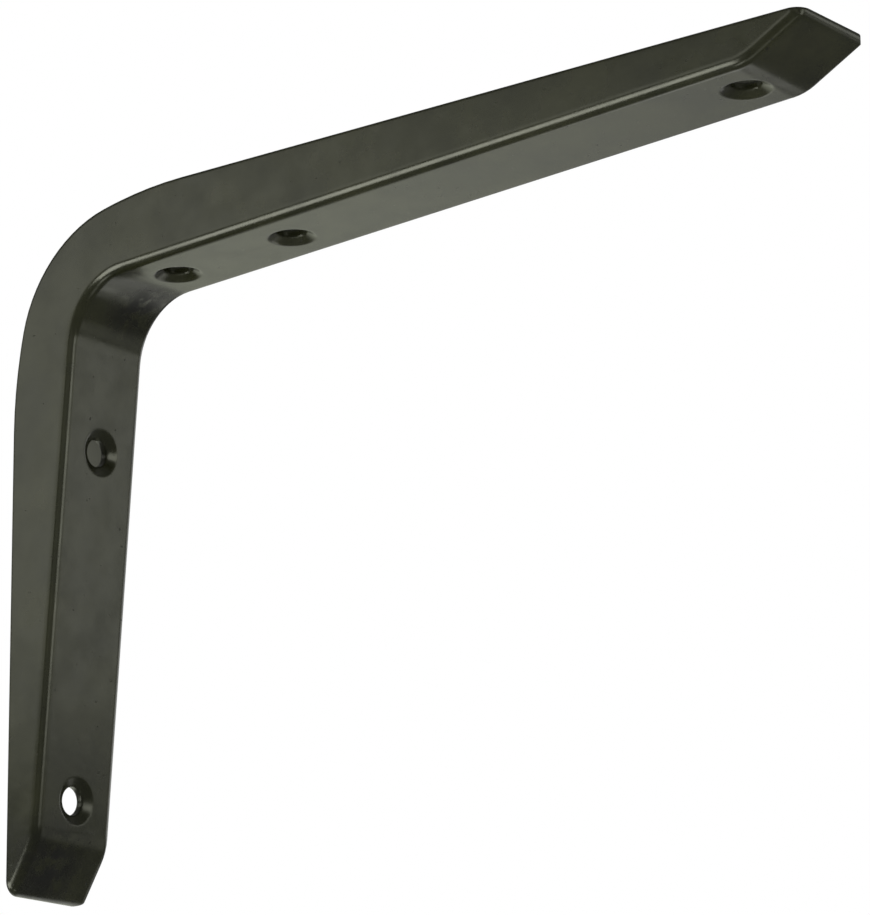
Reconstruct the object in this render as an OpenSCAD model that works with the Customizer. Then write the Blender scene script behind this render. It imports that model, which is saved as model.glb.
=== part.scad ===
// Cantilever shelf bracket, pressed from one steel sheet (millimetres).
// +X runs out from the wall and +Z is up. The wall is the plane X = 0, the underside
// of the shelf is the plane Z = 0, and the bracket is symmetric about Y = 0.
// The sheet is an open channel. Its web faces the inside of the L, and its two side
// walls reach back to the wall and up to the shelf. At both ends the web slopes to
// those planes and closes the channel.

/* [Arms] */
// Length of the arm under the shelf, from the wall to its tip
shelf_leg = 200; // [150:1:300]
// Length of the arm on the wall, from the shelf to its foot
wall_leg = 144.4; // [120:0.1:250]
// Width of the bracket over its side walls
width = 22.5; // [17:0.1:40]
// Depth of the shelf arm where its web line meets the wall
shelf_root = 18; // [14:0.1:26]
// Depth of the shelf arm where its web line passes the tip
shelf_tip = 8; // [6:0.1:12]
// Depth of the wall arm where its web line meets the shelf
wall_root = 18.6; // [14:0.1:26]
// Depth of the wall arm where its web line passes the foot
wall_tip = 7.2; // [6:0.1:12]

/* [Sheet] */
// Thickness of the sheet
sheet = 1.5; // [1:0.1:2]
// Outside radius of the long folds between the web and the side walls
fold_r = 2; // [1.2:0.1:3.5]
// Smallest inside radius of the long folds
fold_inner_min = 0.3; // [0.2:0.1:0.6]

/* [Corner and ends] */
// Radius of the web face in the inner corner of the L
web_corner_r = 14.5; // [8:0.5:20]
// Radius of the middle of the outer corner of the side walls
corner_r = 29.5; // [20:0.5:36]
// Radius of the slow curves that lead into the outer corner
lead_r = 100; // [60:1:160]
// Angle that each slow curve turns through
lead_angle = 12.5; // [6:0.5:18]
// Length of the sloping end of the shelf arm, along the shelf
shelf_slope = 13.4; // [10:0.1:18]
// Length of the sloping end of the wall arm, along the wall
wall_slope = 10.7; // [9:0.1:18]
// Outside radius of the bends that start the sloping ends
end_bend_r = 12; // [4:0.5:16]
// Height of the blunt edge that closes each sloping end
end_edge = 1.5; // [0.5:0.1:1.6]
// Radius between the blunt edge and the slope, where the blunt edge has room for it
end_edge_r = 2; // [0.5:0.1:3]
// Radius of the two corners of each end, seen square to its arm
end_corner_r = 3; // [1:0.5:6]

/* [Screw holes] */
// Distance from the tip to the centre of the shelf arm's end hole
shelf_end_hole = 20; // [20:0.5:30]
// Distance from the wall to the centre of the shelf arm's middle hole
shelf_mid_hole = 67.2; // [56:0.1:120]
// Distance from the wall to the centre of the hole nearest the corner
shelf_corner_hole = 36; // [34:0.1:42]
// Distance from the shelf to the centre of the wall arm's upper hole
wall_top_hole = 51; // [40:0.1:80]
// Distance from the foot to the centre of the wall arm's lower hole
wall_end_hole = 20; // [19:0.5:28]
// Diameter of the screw holes
hole_d = 6; // [4:0.1:6.4]
// Diameter of the countersinks where they meet the web
sink_d = 10; // [8:0.1:11]
// Depth that the countersinks are pressed into the web
sink_depth = 1.2; // [0.8:0.1:1.6]
// Radius of the lip where the web turns down into a countersink
lip_r = 1.5; // [0.3:0.1:2]

/* [Hidden] */
$fn = 128;
over = 1;                 // how far a cutting solid passes the face it cuts
reach = 80;               // depth of the swept sections, past every outer edge
lap = 0.02;               // step by which a curve stands proud of what it joins
skim = 0.002;             // depth at which a small radius meets the face it runs out on
spread = 0.25;            // angle by which a curve runs on over what it joins

// Rise of each web line for each millimetre along its arm
shelf_taper = (shelf_root - shelf_tip) / shelf_leg;
wall_taper = (wall_root - wall_tip) / wall_leg;

// Depth of the web face at a distance along each arm
function shelf_depth(x) = shelf_root - shelf_taper * x;
function wall_depth(z) = wall_root - wall_taper * z;

// The web line in the XZ plane: its sharp points, from the tip to the foot
bend_x = shelf_leg - shelf_slope;
bend_z = wall_leg - wall_slope;
inner_x = (wall_root - wall_taper * shelf_root) / (1 - wall_taper * shelf_taper);
line = [
    [shelf_leg, -end_edge],
    [bend_x, -shelf_depth(bend_x)],
    [inner_x, -shelf_depth(inner_x)],
    [wall_depth(bend_z), -bend_z],
    [end_edge, -wall_leg]
];
// Radius of the web face at each point: positive round a centre inside the channel,
// negative round a centre in the open air
bends = [0, end_bend_r, -web_corner_r, end_bend_r, 0];

// Heading of each straight, measured from +Z towards +X
function heading(i) = atan2(line[i + 1].x - line[i].x, line[i + 1].y - line[i].y);
function turn(i) = heading(i) - heading(i - 1);
// Length of straight that the bend at point i takes up on each side of it
function setback(i) = bends[i] == 0 ? 0 : abs(bends[i] * tan(turn(i) / 2));
// How far a straight runs on past the place where its end at point i would be
function run_on(i) = bends[i] > 0 ? 0 : bends[i] < 0 ? over : over + end_edge;

// Stands the children on a point of the XZ plane, with their Z along the heading and
// their X towards the wall and the shelf
module along(point, angle) {
    translate([point.x, 0, point.y]) rotate([0, angle, 0]) children();
}

// Cross-section of a channel, its web face on X = skin and its folds rounded
module section(w, r, skin, deep) {
    translate([skin + r, -w / 2]) square([deep - skin - r, w]);
    translate([skin, r - w / 2]) square([deep - skin, w - 2 * r]);
    for (side = [-1, 1]) translate([skin + r, side * (w / 2 - r)]) circle(r);
}

// Straight stretch of the channel from point i to the next one
module straight(i, w, r, skin) {
    start = setback(i) - run_on(i);
    end = norm(line[i + 1] - line[i]) - setback(i + 1) + run_on(i + 1);
    along(line[i], heading(i)) translate([0, 0, start])
        linear_extrude(end - start) section(w, r, skin, reach);
}

// Bend at point i round a centre inside the channel, with a core along that centre
module outside_bend(i, w, r, skin) {
    rotate([90, 0, 0]) {
        rotate([0, 0, 180 - heading(i) - spread])
            rotate_extrude(angle = turn(i) + 2 * spread)
                translate([bends[i], 0]) mirror([1, 0]) section(w, r, skin, bends[i]);
        cylinder(h = w - 3 * lap, r = bends[i] / 4, center = true);
    }
}

// Bend at point i round a centre in the open air
module inside_bend(i, w, r, skin) {
    rotate([90, 0, 0]) rotate([0, 0, -heading(i - 1) - spread])
        rotate_extrude(angle = 2 * spread - turn(i))
            translate([-bends[i], 0]) section(w, r, skin, reach);
}

// Curved stretch of the channel at point i, a lap larger all round than the straights
module curved(i, w, r, skin) {
    inward = heading(i - 1);
    start = line[i] - setback(i) * [sin(inward), cos(inward)];
    centre = start + bends[i] * [cos(inward), -sin(inward)];
    translate([centre.x, 0, centre.y])
        if (bends[i] > 0) outside_bend(i, w + 2 * lap, r + lap, skin - lap);
        else inside_bend(i, w + 2 * lap, r + lap, skin - lap);
}

// The whole channel, as a filled bar that runs past the wall and the shelf
module channel(w, r, skin) {
    for (i = [0 : len(line) - 2]) straight(i, w, r, skin);
    for (i = [1 : len(line) - 2]) curved(i, w, r, skin);
}

// Where the outer corner starts, measured from the wall and from the shelf
lead_end = corner_r * (cos(lead_angle) - sin(lead_angle))
    + lead_r * (1 + sin(lead_angle) - cos(lead_angle));

// Slice of a disc, between two angles
module slice(r, from, to) {
    far = 1.2 * r;
    intersection() {
        circle(r);
        polygon([
            [0, 0],
            far * [cos(from), sin(from)],
            far * [cos((from + to) / 2), sin((from + to) / 2)],
            far * [cos(to), sin(to)]
        ]);
    }
}

// Side view of the space between the wall and the shelf that the bracket fills. Its
// corner is one arc between two slower ones.
module outline() {
    middle = [lead_end - (lead_r - corner_r) * sin(lead_angle),
        -lead_r + (lead_r - corner_r) * cos(lead_angle)];
    translate([lead_end, -wall_leg]) square([shelf_leg - lead_end, wall_leg]);
    translate([0, -wall_leg]) square([shelf_leg, wall_leg - lead_end]);
    translate([lead_end, -lead_r]) slice(lead_r - lap, 90 - spread, 90 + lead_angle);
    translate([lead_r, -lead_end]) slice(lead_r - lap, 180 - lead_angle, 180 + spread);
    translate(middle) slice(corner_r, 90 + lead_angle - spread, 180 - lead_angle + spread);
}

// What the rounded corners of one end remove, with the arm along +X and its end at X = 0
module end_corners() {
    for (side = [0, 1]) mirror([0, side]) difference() {
        translate([-end_corner_r, width / 2 - end_corner_r])
            square([end_corner_r + over, end_corner_r + over]);
        translate([skim - end_corner_r, width / 2 + skim - end_corner_r]) circle(end_corner_r);
    }
}

// Side view of what the rounding of a blunt edge removes. The edge meets the slope at a
// corner, and two unit directions leave that corner: up the edge and along the slope.
module edge_rounding(corner, up, back) {
    half_angle = acos(up * back) / 2;
    r = min(end_edge_r, 0.9 * end_edge * tan(half_angle));
    inward = (up + back) / norm(up + back);
    difference() {
        polygon([
            corner + r / tan(half_angle) * up,
            corner - over * inward,
            corner + r / tan(half_angle) * back
        ]);
        translate(corner + (r / sin(half_angle) - skim) * inward) circle(r);
    }
}

// Unit direction of the web line from point i towards point j
function towards(i, j) = (line[j] - line[i]) / norm(line[j] - line[i]);

// What the rounded corners and edges of both ends remove
module end_cuts() {
    deep = 2 * max(shelf_tip, wall_tip);
    rotate([90, 0, 0]) translate([0, 0, -width]) linear_extrude(2 * width) {
        edge_rounding(line[0], [0, 1], towards(0, 1));
        edge_rounding(line[4], [-1, 0], towards(4, 3));
    }
    translate([shelf_leg, 0, -deep]) linear_extrude(deep + over) end_corners();
    translate([0, 0, -wall_leg]) rotate([0, 90, 0])
        translate([0, 0, -over]) linear_extrude(deep + over) end_corners();
}

// The places of the screw holes: the point on the web face and the web's heading
holes = [
    for (x = [shelf_leg - shelf_end_hole, shelf_mid_hole, shelf_corner_hole])
        [[x, -shelf_depth(x)], heading(1)],
    for (z = [wall_top_hole, wall_leg - wall_end_hole])
        [[wall_depth(z), -z], heading(2)]
];

// Stands the children on each hole, with their Z running into the channel
module at_holes() {
    for (hole = holes) along(hole[0], hole[1]) rotate([0, 90, 0]) children();
}

// Radius that the countersink loses for each millimetre of its depth
sink_slope = (sink_d - hole_d) / 2 / sink_depth;

// Metal that a countersink pushes into the channel, as thick as the sheet
module boss() {
    base_r = sink_d / 2 - sink_slope * sheet + sheet * sqrt(1 + pow(sink_slope, 2));
    translate([0, 0, sheet / 2]) cylinder(h = sheet / 2, r = base_r);
    translate([0, 0, sheet])
        cylinder(h = sink_depth, r1 = base_r, r2 = base_r - sink_slope * sink_depth);
}

// Countersink and screw hole, as the solid that they remove. The lip is the part of the
// web that a ring of round section leaves standing.
module screw_hole() {
    ring_r = sink_d / 2 + lip_r * tan(atan(1 / sink_slope) / 2);
    rotate_extrude() difference() {
        polygon([
            [0, -over],
            [ring_r, -over],
            [ring_r, 0],
            [sink_d / 2, 0],
            [hole_d / 2, sink_depth],
            [hole_d / 2, sink_depth + sheet + over],
            [0, sink_depth + sheet + over]
        ]);
        translate([ring_r, lip_r - skim]) circle(lip_r, $fn = 40);
    }
}

// The bracket: the formed sheet with its pierced and pressed holes
module bracket() {
    fold_inner = max(fold_r - sheet, fold_inner_min);
    color([0.21, 0.21, 0.19]) difference() {
        union() {
            difference() {
                intersection() {
                    channel(width, fold_r, 0);
                    rotate([90, 0, 0]) translate([0, 0, -width]) linear_extrude(2 * width) outline();
                }
                channel(width - 2 * sheet, fold_inner, sheet);
            }
            at_holes() boss();
        }
        at_holes() screw_hole();
        end_cuts();
    }
}

bracket();
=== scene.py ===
"""Looks of the cantilever shelf bracket: glossy olive grey paint on pressed sheet steel."""

import math

import bpy
from mathutils import Euler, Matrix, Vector


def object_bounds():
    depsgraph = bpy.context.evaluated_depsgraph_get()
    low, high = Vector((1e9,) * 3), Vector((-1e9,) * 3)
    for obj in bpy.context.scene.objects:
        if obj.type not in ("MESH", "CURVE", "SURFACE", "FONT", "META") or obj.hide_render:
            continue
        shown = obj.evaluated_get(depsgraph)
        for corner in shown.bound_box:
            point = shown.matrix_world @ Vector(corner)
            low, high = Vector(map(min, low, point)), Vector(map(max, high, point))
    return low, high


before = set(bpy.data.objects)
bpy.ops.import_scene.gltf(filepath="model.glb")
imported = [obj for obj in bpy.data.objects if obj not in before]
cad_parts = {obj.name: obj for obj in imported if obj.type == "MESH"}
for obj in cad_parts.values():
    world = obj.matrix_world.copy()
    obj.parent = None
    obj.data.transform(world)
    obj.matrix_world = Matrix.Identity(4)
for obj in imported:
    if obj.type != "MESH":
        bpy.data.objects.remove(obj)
cad_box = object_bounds()

# Camera: 0.84 m from the bracket's middle, below the shelf arm and on the -Y side
CAMERA_AT = (0.6067, -0.6359, -0.2871)
CAMERA_TURN = (105.144, 0.521, 38.473)  # degrees
LENS = 168.25  # mm
SENSOR = 36.0  # mm

# Colours of the paint: where it is thin and thick, in its pits and on its dull marks, which
# also paint shade inside the corner and on the foot's slope
THIN = (0.011, 0.012, 0.0055, 1.0)
THICK = (0.021, 0.022, 0.010, 1.0)
PIT = (0.003, 0.003, 0.002, 1.0)
# darker colour of the dull marks, which paints shade inside the corner and on the foot's slope
DULL_AND_SHADE = (0.008, 0.008, 0.008, 1.0)
MIRROR_TINT = (0.98, 1.0, 0.82, 1.0)

# Scales of the paint's noise: about how many features there are along one metre
CLOUDS = 70
GLOSS = 160
SMEARS = 260
RIPPLES = 420
PITS = 900

# Values of that noise, between 0 and 1, over which each feature grows to its full strength
CLOUD_RANGE = (0.35, 0.65)
GLOSS_RANGE = (0.35, 0.65)
SMEAR_RANGE = (0.34, 0.56)
PIT_RANGE = (0.72, 0.79)

# How the paint mirrors
ROUGHNESS = (0.17, 0.26)  # where it is glossiest and where it is least so
PIT_ROUGHNESS = 0.3  # what a full pit would add to that
DULL_ROUGHNESS = 0.12  # what a dull mark adds to it
MIRROR_LEVEL = (0.5, 0.22)  # clean paint and dull marks, where 0.5 is plain paint

# The paint's surface and its pits, with lengths in metres
RIPPLE_HEIGHT = 0.00004
RIPPLE_STRENGTH = 0.3
PIT_DEPTH = 0.8  # of a full pit, for a ripple's height of 1
PIT_STRENGTH = 0.8  # how dark and deep the pits get, where 1 is a full pit
PITTED_FROM = -0.09  # Z where the pits start to grow denser towards the foot
PITTED_TO = -0.145  # Z where they are densest
EXTRA_PITS = 0.05  # what is added to the pits' noise there
SOFT_EDGE = 0.0008  # how far the shading of each edge is rounded
EDGE_SAMPLES = 8

# Dull marks, darkened as painted shade, inside the corner and on the foot's slope: the middle
# and reach of each
DULL_AND_SHADE_MARKS = (
    ((0.022, 0.004, -0.020), 0.012),
    ((0.005, -0.004, -0.138), 0.014),
)

# Evening of the bracket's shading
JOIN_DISTANCE = 0.000026  # just over the 0.02 mm by which its bends stand proud
CRISP_ANGLE = 32  # degrees

# Surroundings
FLOOR_Z = -0.9
FLOOR_SIZE = 6.0
FLOOR_GREY = (0.8, 0.8, 0.8, 1.0)
FLOOR_ROUGHNESS = 0.9
WHITE = (1.0, 1.0, 1.0, 1.0)
ROOM = 0.16  # brightness of the room, where white is 1
PAPER = (0.87, 0.90, 0.77, 1.0)  # the backdrop, as the paint mirrors it
BACKDROP = (-0.80, 0.54, -0.27)  # direction of the backdrop's middle, as seen from the bracket
BACKDROP_EDGE = (32.0, 11.0)  # degrees from its middle: where it starts, where it is full
SUN = 0.8  # light that falls on the floor from straight above, where 1 is plain light
SUN_ANGLE = 10  # degrees across

# Soft lamps round the bracket: azimuth and elevation in degrees (azimuth 0 is +X, 90 is +Y),
# distance from the bracket's middle, width and height in metres, and brightness, where
# white is 1
LAMPS = {
    "left_strip": (235, -23, 0.8, 0.36, 0.44, 5.8),
    "left_soft": (235, 16, 0.8, 0.90, 0.25, 1.25),
    "left_low": (245, -66, 0.8, 0.26, 0.20, 2.5),
    "below": (310, -70, 0.8, 0.28, 0.28, 0.8),
    "front": (302, 13, 0.8, 0.70, 0.30, 0.32),
    "right_soft": (352, 11, 0.8, 0.36, 0.30, 3.0),
    "right_fill": (22, 10, 0.8, 0.36, 0.25, 1.1),
    "back_right": (45, 9.5, 0.8, 0.36, 0.20, 1.2),
    "back_right_low": (48, -10, 0.8, 0.35, 0.20, 0.42),
    "back_left_low": (115, -39, 0.8, 0.40, 0.28, 0.8),
    "corner_card": (108, -35, 0.26, 0.08, 0.10, 0.5),
    "behind": (93, 9, 0.8, 0.66, 0.34, 1.1),
}


def new_node(tree, kind, **inputs):
    """A new shader node, with some of its inputs set by name."""
    node = tree.nodes.new(kind)
    for name, value in inputs.items():
        node.inputs[name.replace("_", " ")].default_value = value
    return node


def math_node(tree, operation, first, second, third=None):
    """A math node whose operands are sockets or numbers; gives its output socket."""
    node = tree.nodes.new("ShaderNodeMath")
    node.operation = operation
    for index, value in enumerate((first, second, third)):
        if isinstance(value, bpy.types.NodeSocket):
            tree.links.new(value, node.inputs[index])
        elif value is not None:
            node.inputs[index].default_value = value
    return node.outputs[0]


def noise(tree, place, scale, detail, roughness=0.5):
    """Noise over the bracket's own coordinates, which are metres; gives its value socket."""
    node = new_node(tree, "ShaderNodeTexNoise", Scale=scale, Detail=detail, Roughness=roughness)
    tree.links.new(place, node.inputs["Vector"])
    return node.outputs[0]


def remap(tree, value, low, high, to_low, to_high, kind="LINEAR"):
    """Maps the range low to high onto to_low to to_high; gives the result's socket."""
    node = new_node(tree, "ShaderNodeMapRange", From_Min=low, From_Max=high)
    node.inputs["To Min"].default_value = to_low
    node.inputs["To Max"].default_value = to_high
    node.interpolation_type = kind
    tree.links.new(value, node.inputs["Value"])
    return node.outputs[0]


def blend(tree, factor, first, second):
    """Mixes two colours; each is a socket or a constant."""
    node = tree.nodes.new("ShaderNodeMix")
    node.data_type = "RGBA"
    tree.links.new(factor, node.inputs["Factor"])
    for socket, value in ((node.inputs[6], first), (node.inputs[7], second)):
        if isinstance(value, bpy.types.NodeSocket):
            tree.links.new(value, socket)
        else:
            socket.default_value = value
    return node.outputs[2]


def near(tree, place, point, reach):
    """1 at a point of the bracket, falling to 0 at the reach, in metres; gives its socket."""
    away = tree.nodes.new("ShaderNodeVectorMath")
    away.operation = "DISTANCE"
    away.inputs[1].default_value = point
    tree.links.new(place, away.inputs[0])
    return remap(tree, away.outputs["Value"], 0, reach, 1, 0, "SMOOTHSTEP")


def pits_mask(tree, place):
    """Strength of the fine pits, which grow denser towards the foot; gives its socket."""
    parts = tree.nodes.new("ShaderNodeSeparateXYZ")
    tree.links.new(place, parts.inputs[0])
    denser = remap(tree, parts.outputs["Z"], PITTED_FROM, PITTED_TO, 0, EXTRA_PITS)
    grain = math_node(tree, "ADD", noise(tree, place, PITS, 2, 0.4), denser)
    return remap(tree, grain, *PIT_RANGE, 0, PIT_STRENGTH, "SMOOTHSTEP")


def dull_and_shade_mask(tree, place):
    """Strength of the smears of the two dull marks, which also paint shade inside the corner
    and on the foot's slope; gives its socket.
    """
    masks = [near(tree, place, middle, reach) for middle, reach in DULL_AND_SHADE_MARKS]
    marked = math_node(tree, "MAXIMUM", *masks)
    smears = noise(tree, place, SMEARS, 4, 0.6)
    smears = remap(tree, smears, *SMEAR_RANGE, 0, 1, "SMOOTHSTEP")
    return math_node(tree, "MULTIPLY", marked, smears)


def surface(tree, place, pits):
    """Faint ripples and sunken pits over softened edges; gives the normal's socket."""
    height = math_node(tree, "MULTIPLY_ADD", pits, -PIT_DEPTH, noise(tree, place, RIPPLES, 3))
    bump = new_node(tree, "ShaderNodeBump", Strength=RIPPLE_STRENGTH, Distance=RIPPLE_HEIGHT)
    edges = new_node(tree, "ShaderNodeBevel", Radius=SOFT_EDGE)
    edges.samples = EDGE_SAMPLES
    tree.links.new(edges.outputs["Normal"], bump.inputs["Normal"])
    tree.links.new(height, bump.inputs["Height"])
    return bump.outputs["Normal"]


def paint():
    """Glossy dark olive grey paint: cloudy, faintly rippled, with fine dark pits."""
    material = bpy.data.materials.new("paint")
    material.use_nodes = True
    tree = material.node_tree
    bsdf = tree.nodes["Principled BSDF"]
    bsdf.inputs["Specular Tint"].default_value = MIRROR_TINT
    place = tree.nodes.new("ShaderNodeTexCoord").outputs["Object"]
    pits = pits_mask(tree, place)
    dull_and_shade = dull_and_shade_mask(tree, place)

    clouds = remap(tree, noise(tree, place, CLOUDS, 5, 0.6), *CLOUD_RANGE, 0, 1)
    colour = blend(tree, clouds, THIN, THICK)
    colour = blend(tree, pits, colour, PIT)
    # the dull marks darken the paint: painted shade inside the corner and on the foot's slope
    colour = blend(tree, dull_and_shade, colour, DULL_AND_SHADE)
    tree.links.new(colour, bsdf.inputs["Base Color"])
    tree.links.new(remap(tree, dull_and_shade, 0, 1, *MIRROR_LEVEL), bsdf.inputs["Specular IOR Level"])

    rough = remap(tree, noise(tree, place, GLOSS, 4, 0.6), *GLOSS_RANGE, *ROUGHNESS)
    rough = math_node(tree, "MULTIPLY_ADD", pits, PIT_ROUGHNESS, rough)
    rough = math_node(tree, "MULTIPLY_ADD", dull_and_shade, DULL_ROUGHNESS, rough)
    tree.links.new(rough, bsdf.inputs["Roughness"])
    tree.links.new(surface(tree, place, pits), bsdf.inputs["Normal"])
    return material


def soften(piece):
    """Evens out the shading: smooth bends, crisp edges, and no line where they meet flats."""
    join = piece.modifiers.new("join", "WELD")
    join.merge_threshold = JOIN_DISTANCE
    split = piece.modifiers.new("split", "EDGE_SPLIT")
    split.split_angle = math.radians(CRISP_ANGLE)
    even = piece.modifiers.new("even", "WEIGHTED_NORMAL")
    even.keep_sharp = True


def floor():
    """Plain pale floor, well below the bracket."""
    bpy.ops.mesh.primitive_plane_add(size=FLOOR_SIZE, location=(0, 0, FLOOR_Z))
    plane = bpy.context.object
    plane.name = "floor"
    material = bpy.data.materials.new("floor")
    material.use_nodes = True
    bsdf = material.node_tree.nodes["Principled BSDF"]
    bsdf.inputs["Base Color"].default_value = FLOOR_GREY
    bsdf.inputs["Roughness"].default_value = FLOOR_ROUGHNESS
    plane.data.materials.append(material)
    plane.visible_glossy = False  # the paint mirrors the room in its place


def surroundings():
    """Dim even room, white to the camera; the paint also mirrors its pale backdrop."""
    world = bpy.data.worlds.new("studio")
    bpy.context.scene.world = world
    world.use_nodes = True
    tree = world.node_tree
    tree.nodes.clear()
    rays = tree.nodes.new("ShaderNodeLightPath").outputs
    facing = tree.nodes.new("ShaderNodeVectorMath")
    facing.operation = "DOT_PRODUCT"
    facing.inputs[1].default_value = Vector(BACKDROP).normalized()
    tree.links.new(tree.nodes.new("ShaderNodeTexCoord").outputs["Generated"], facing.inputs[0])
    edge, full = (math.cos(math.radians(angle)) for angle in BACKDROP_EDGE)
    backdrop = remap(tree, facing.outputs["Value"], edge, full, 0, 1, "SMOOTHSTEP")
    mirrored = math_node(tree, "MAXIMUM", rays["Is Glossy Ray"], rays["Is Transmission Ray"])
    shown = math_node(tree, "MULTIPLY", backdrop, mirrored)
    white = math_node(tree, "MAXIMUM", rays["Is Camera Ray"], shown)
    strength = math_node(tree, "MULTIPLY_ADD", white, 1 - ROOM, ROOM)
    light = tree.nodes.new("ShaderNodeBackground")
    colour = blend(tree, rays["Is Camera Ray"], blend(tree, shown, WHITE, PAPER), WHITE)
    tree.links.new(colour, light.inputs["Color"])
    tree.links.new(strength, light.inputs["Strength"])
    out = tree.nodes.new("ShaderNodeOutputWorld")
    tree.links.new(light.outputs[0], out.inputs["Surface"])


def lamp(name, azimuth, elevation, distance, width, height, brightness):
    """Soft lamp that faces the middle of the bracket and doesn't show itself."""
    middle = (Vector(cad_box[0]) + Vector(cad_box[1])) / 2
    turn = Euler((0, -math.radians(elevation), math.radians(azimuth)))
    towards = Vector((1, 0, 0))
    towards.rotate(turn)
    data = bpy.data.lights.new(name, "AREA")
    data.shape = "RECTANGLE"
    data.size = width
    data.size_y = height
    data.energy = brightness * math.pi * width * height
    light = bpy.data.objects.new(name, data)
    light.location = middle + distance * towards
    light.rotation_euler = towards.to_track_quat("Z", "Y").to_euler()
    light.visible_camera = False
    bpy.context.collection.objects.link(light)


def sun():
    """Soft light from straight above, which keeps the floor pale."""
    data = bpy.data.lights.new("sun", "SUN")
    data.energy = SUN * math.pi
    data.angle = math.radians(SUN_ANGLE)
    light = bpy.data.objects.new("sun", data)
    light.location = (0, 0, 2)
    light.visible_glossy = False  # it fills, and the paint doesn't mirror it
    bpy.context.collection.objects.link(light)


def camera():
    """Camera at the photograph's viewing angle."""
    data = bpy.data.cameras.new("camera")
    data.lens = LENS
    data.sensor_width = SENSOR
    data.clip_end = 20.0
    view = bpy.data.objects.new("camera", data)
    view.location = CAMERA_AT
    view.rotation_euler = Euler([math.radians(angle) for angle in CAMERA_TURN])
    bpy.context.collection.objects.link(view)
    bpy.context.scene.camera = view


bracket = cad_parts["bracket"]
bracket.data.materials.clear()
bracket.data.materials.append(paint())
soften(bracket)
floor()
surroundings()
for lamp_name, setting in LAMPS.items():
    lamp(lamp_name, *setting)
sun()
camera()
bpy.context.scene.view_settings.view_transform = "Standard"
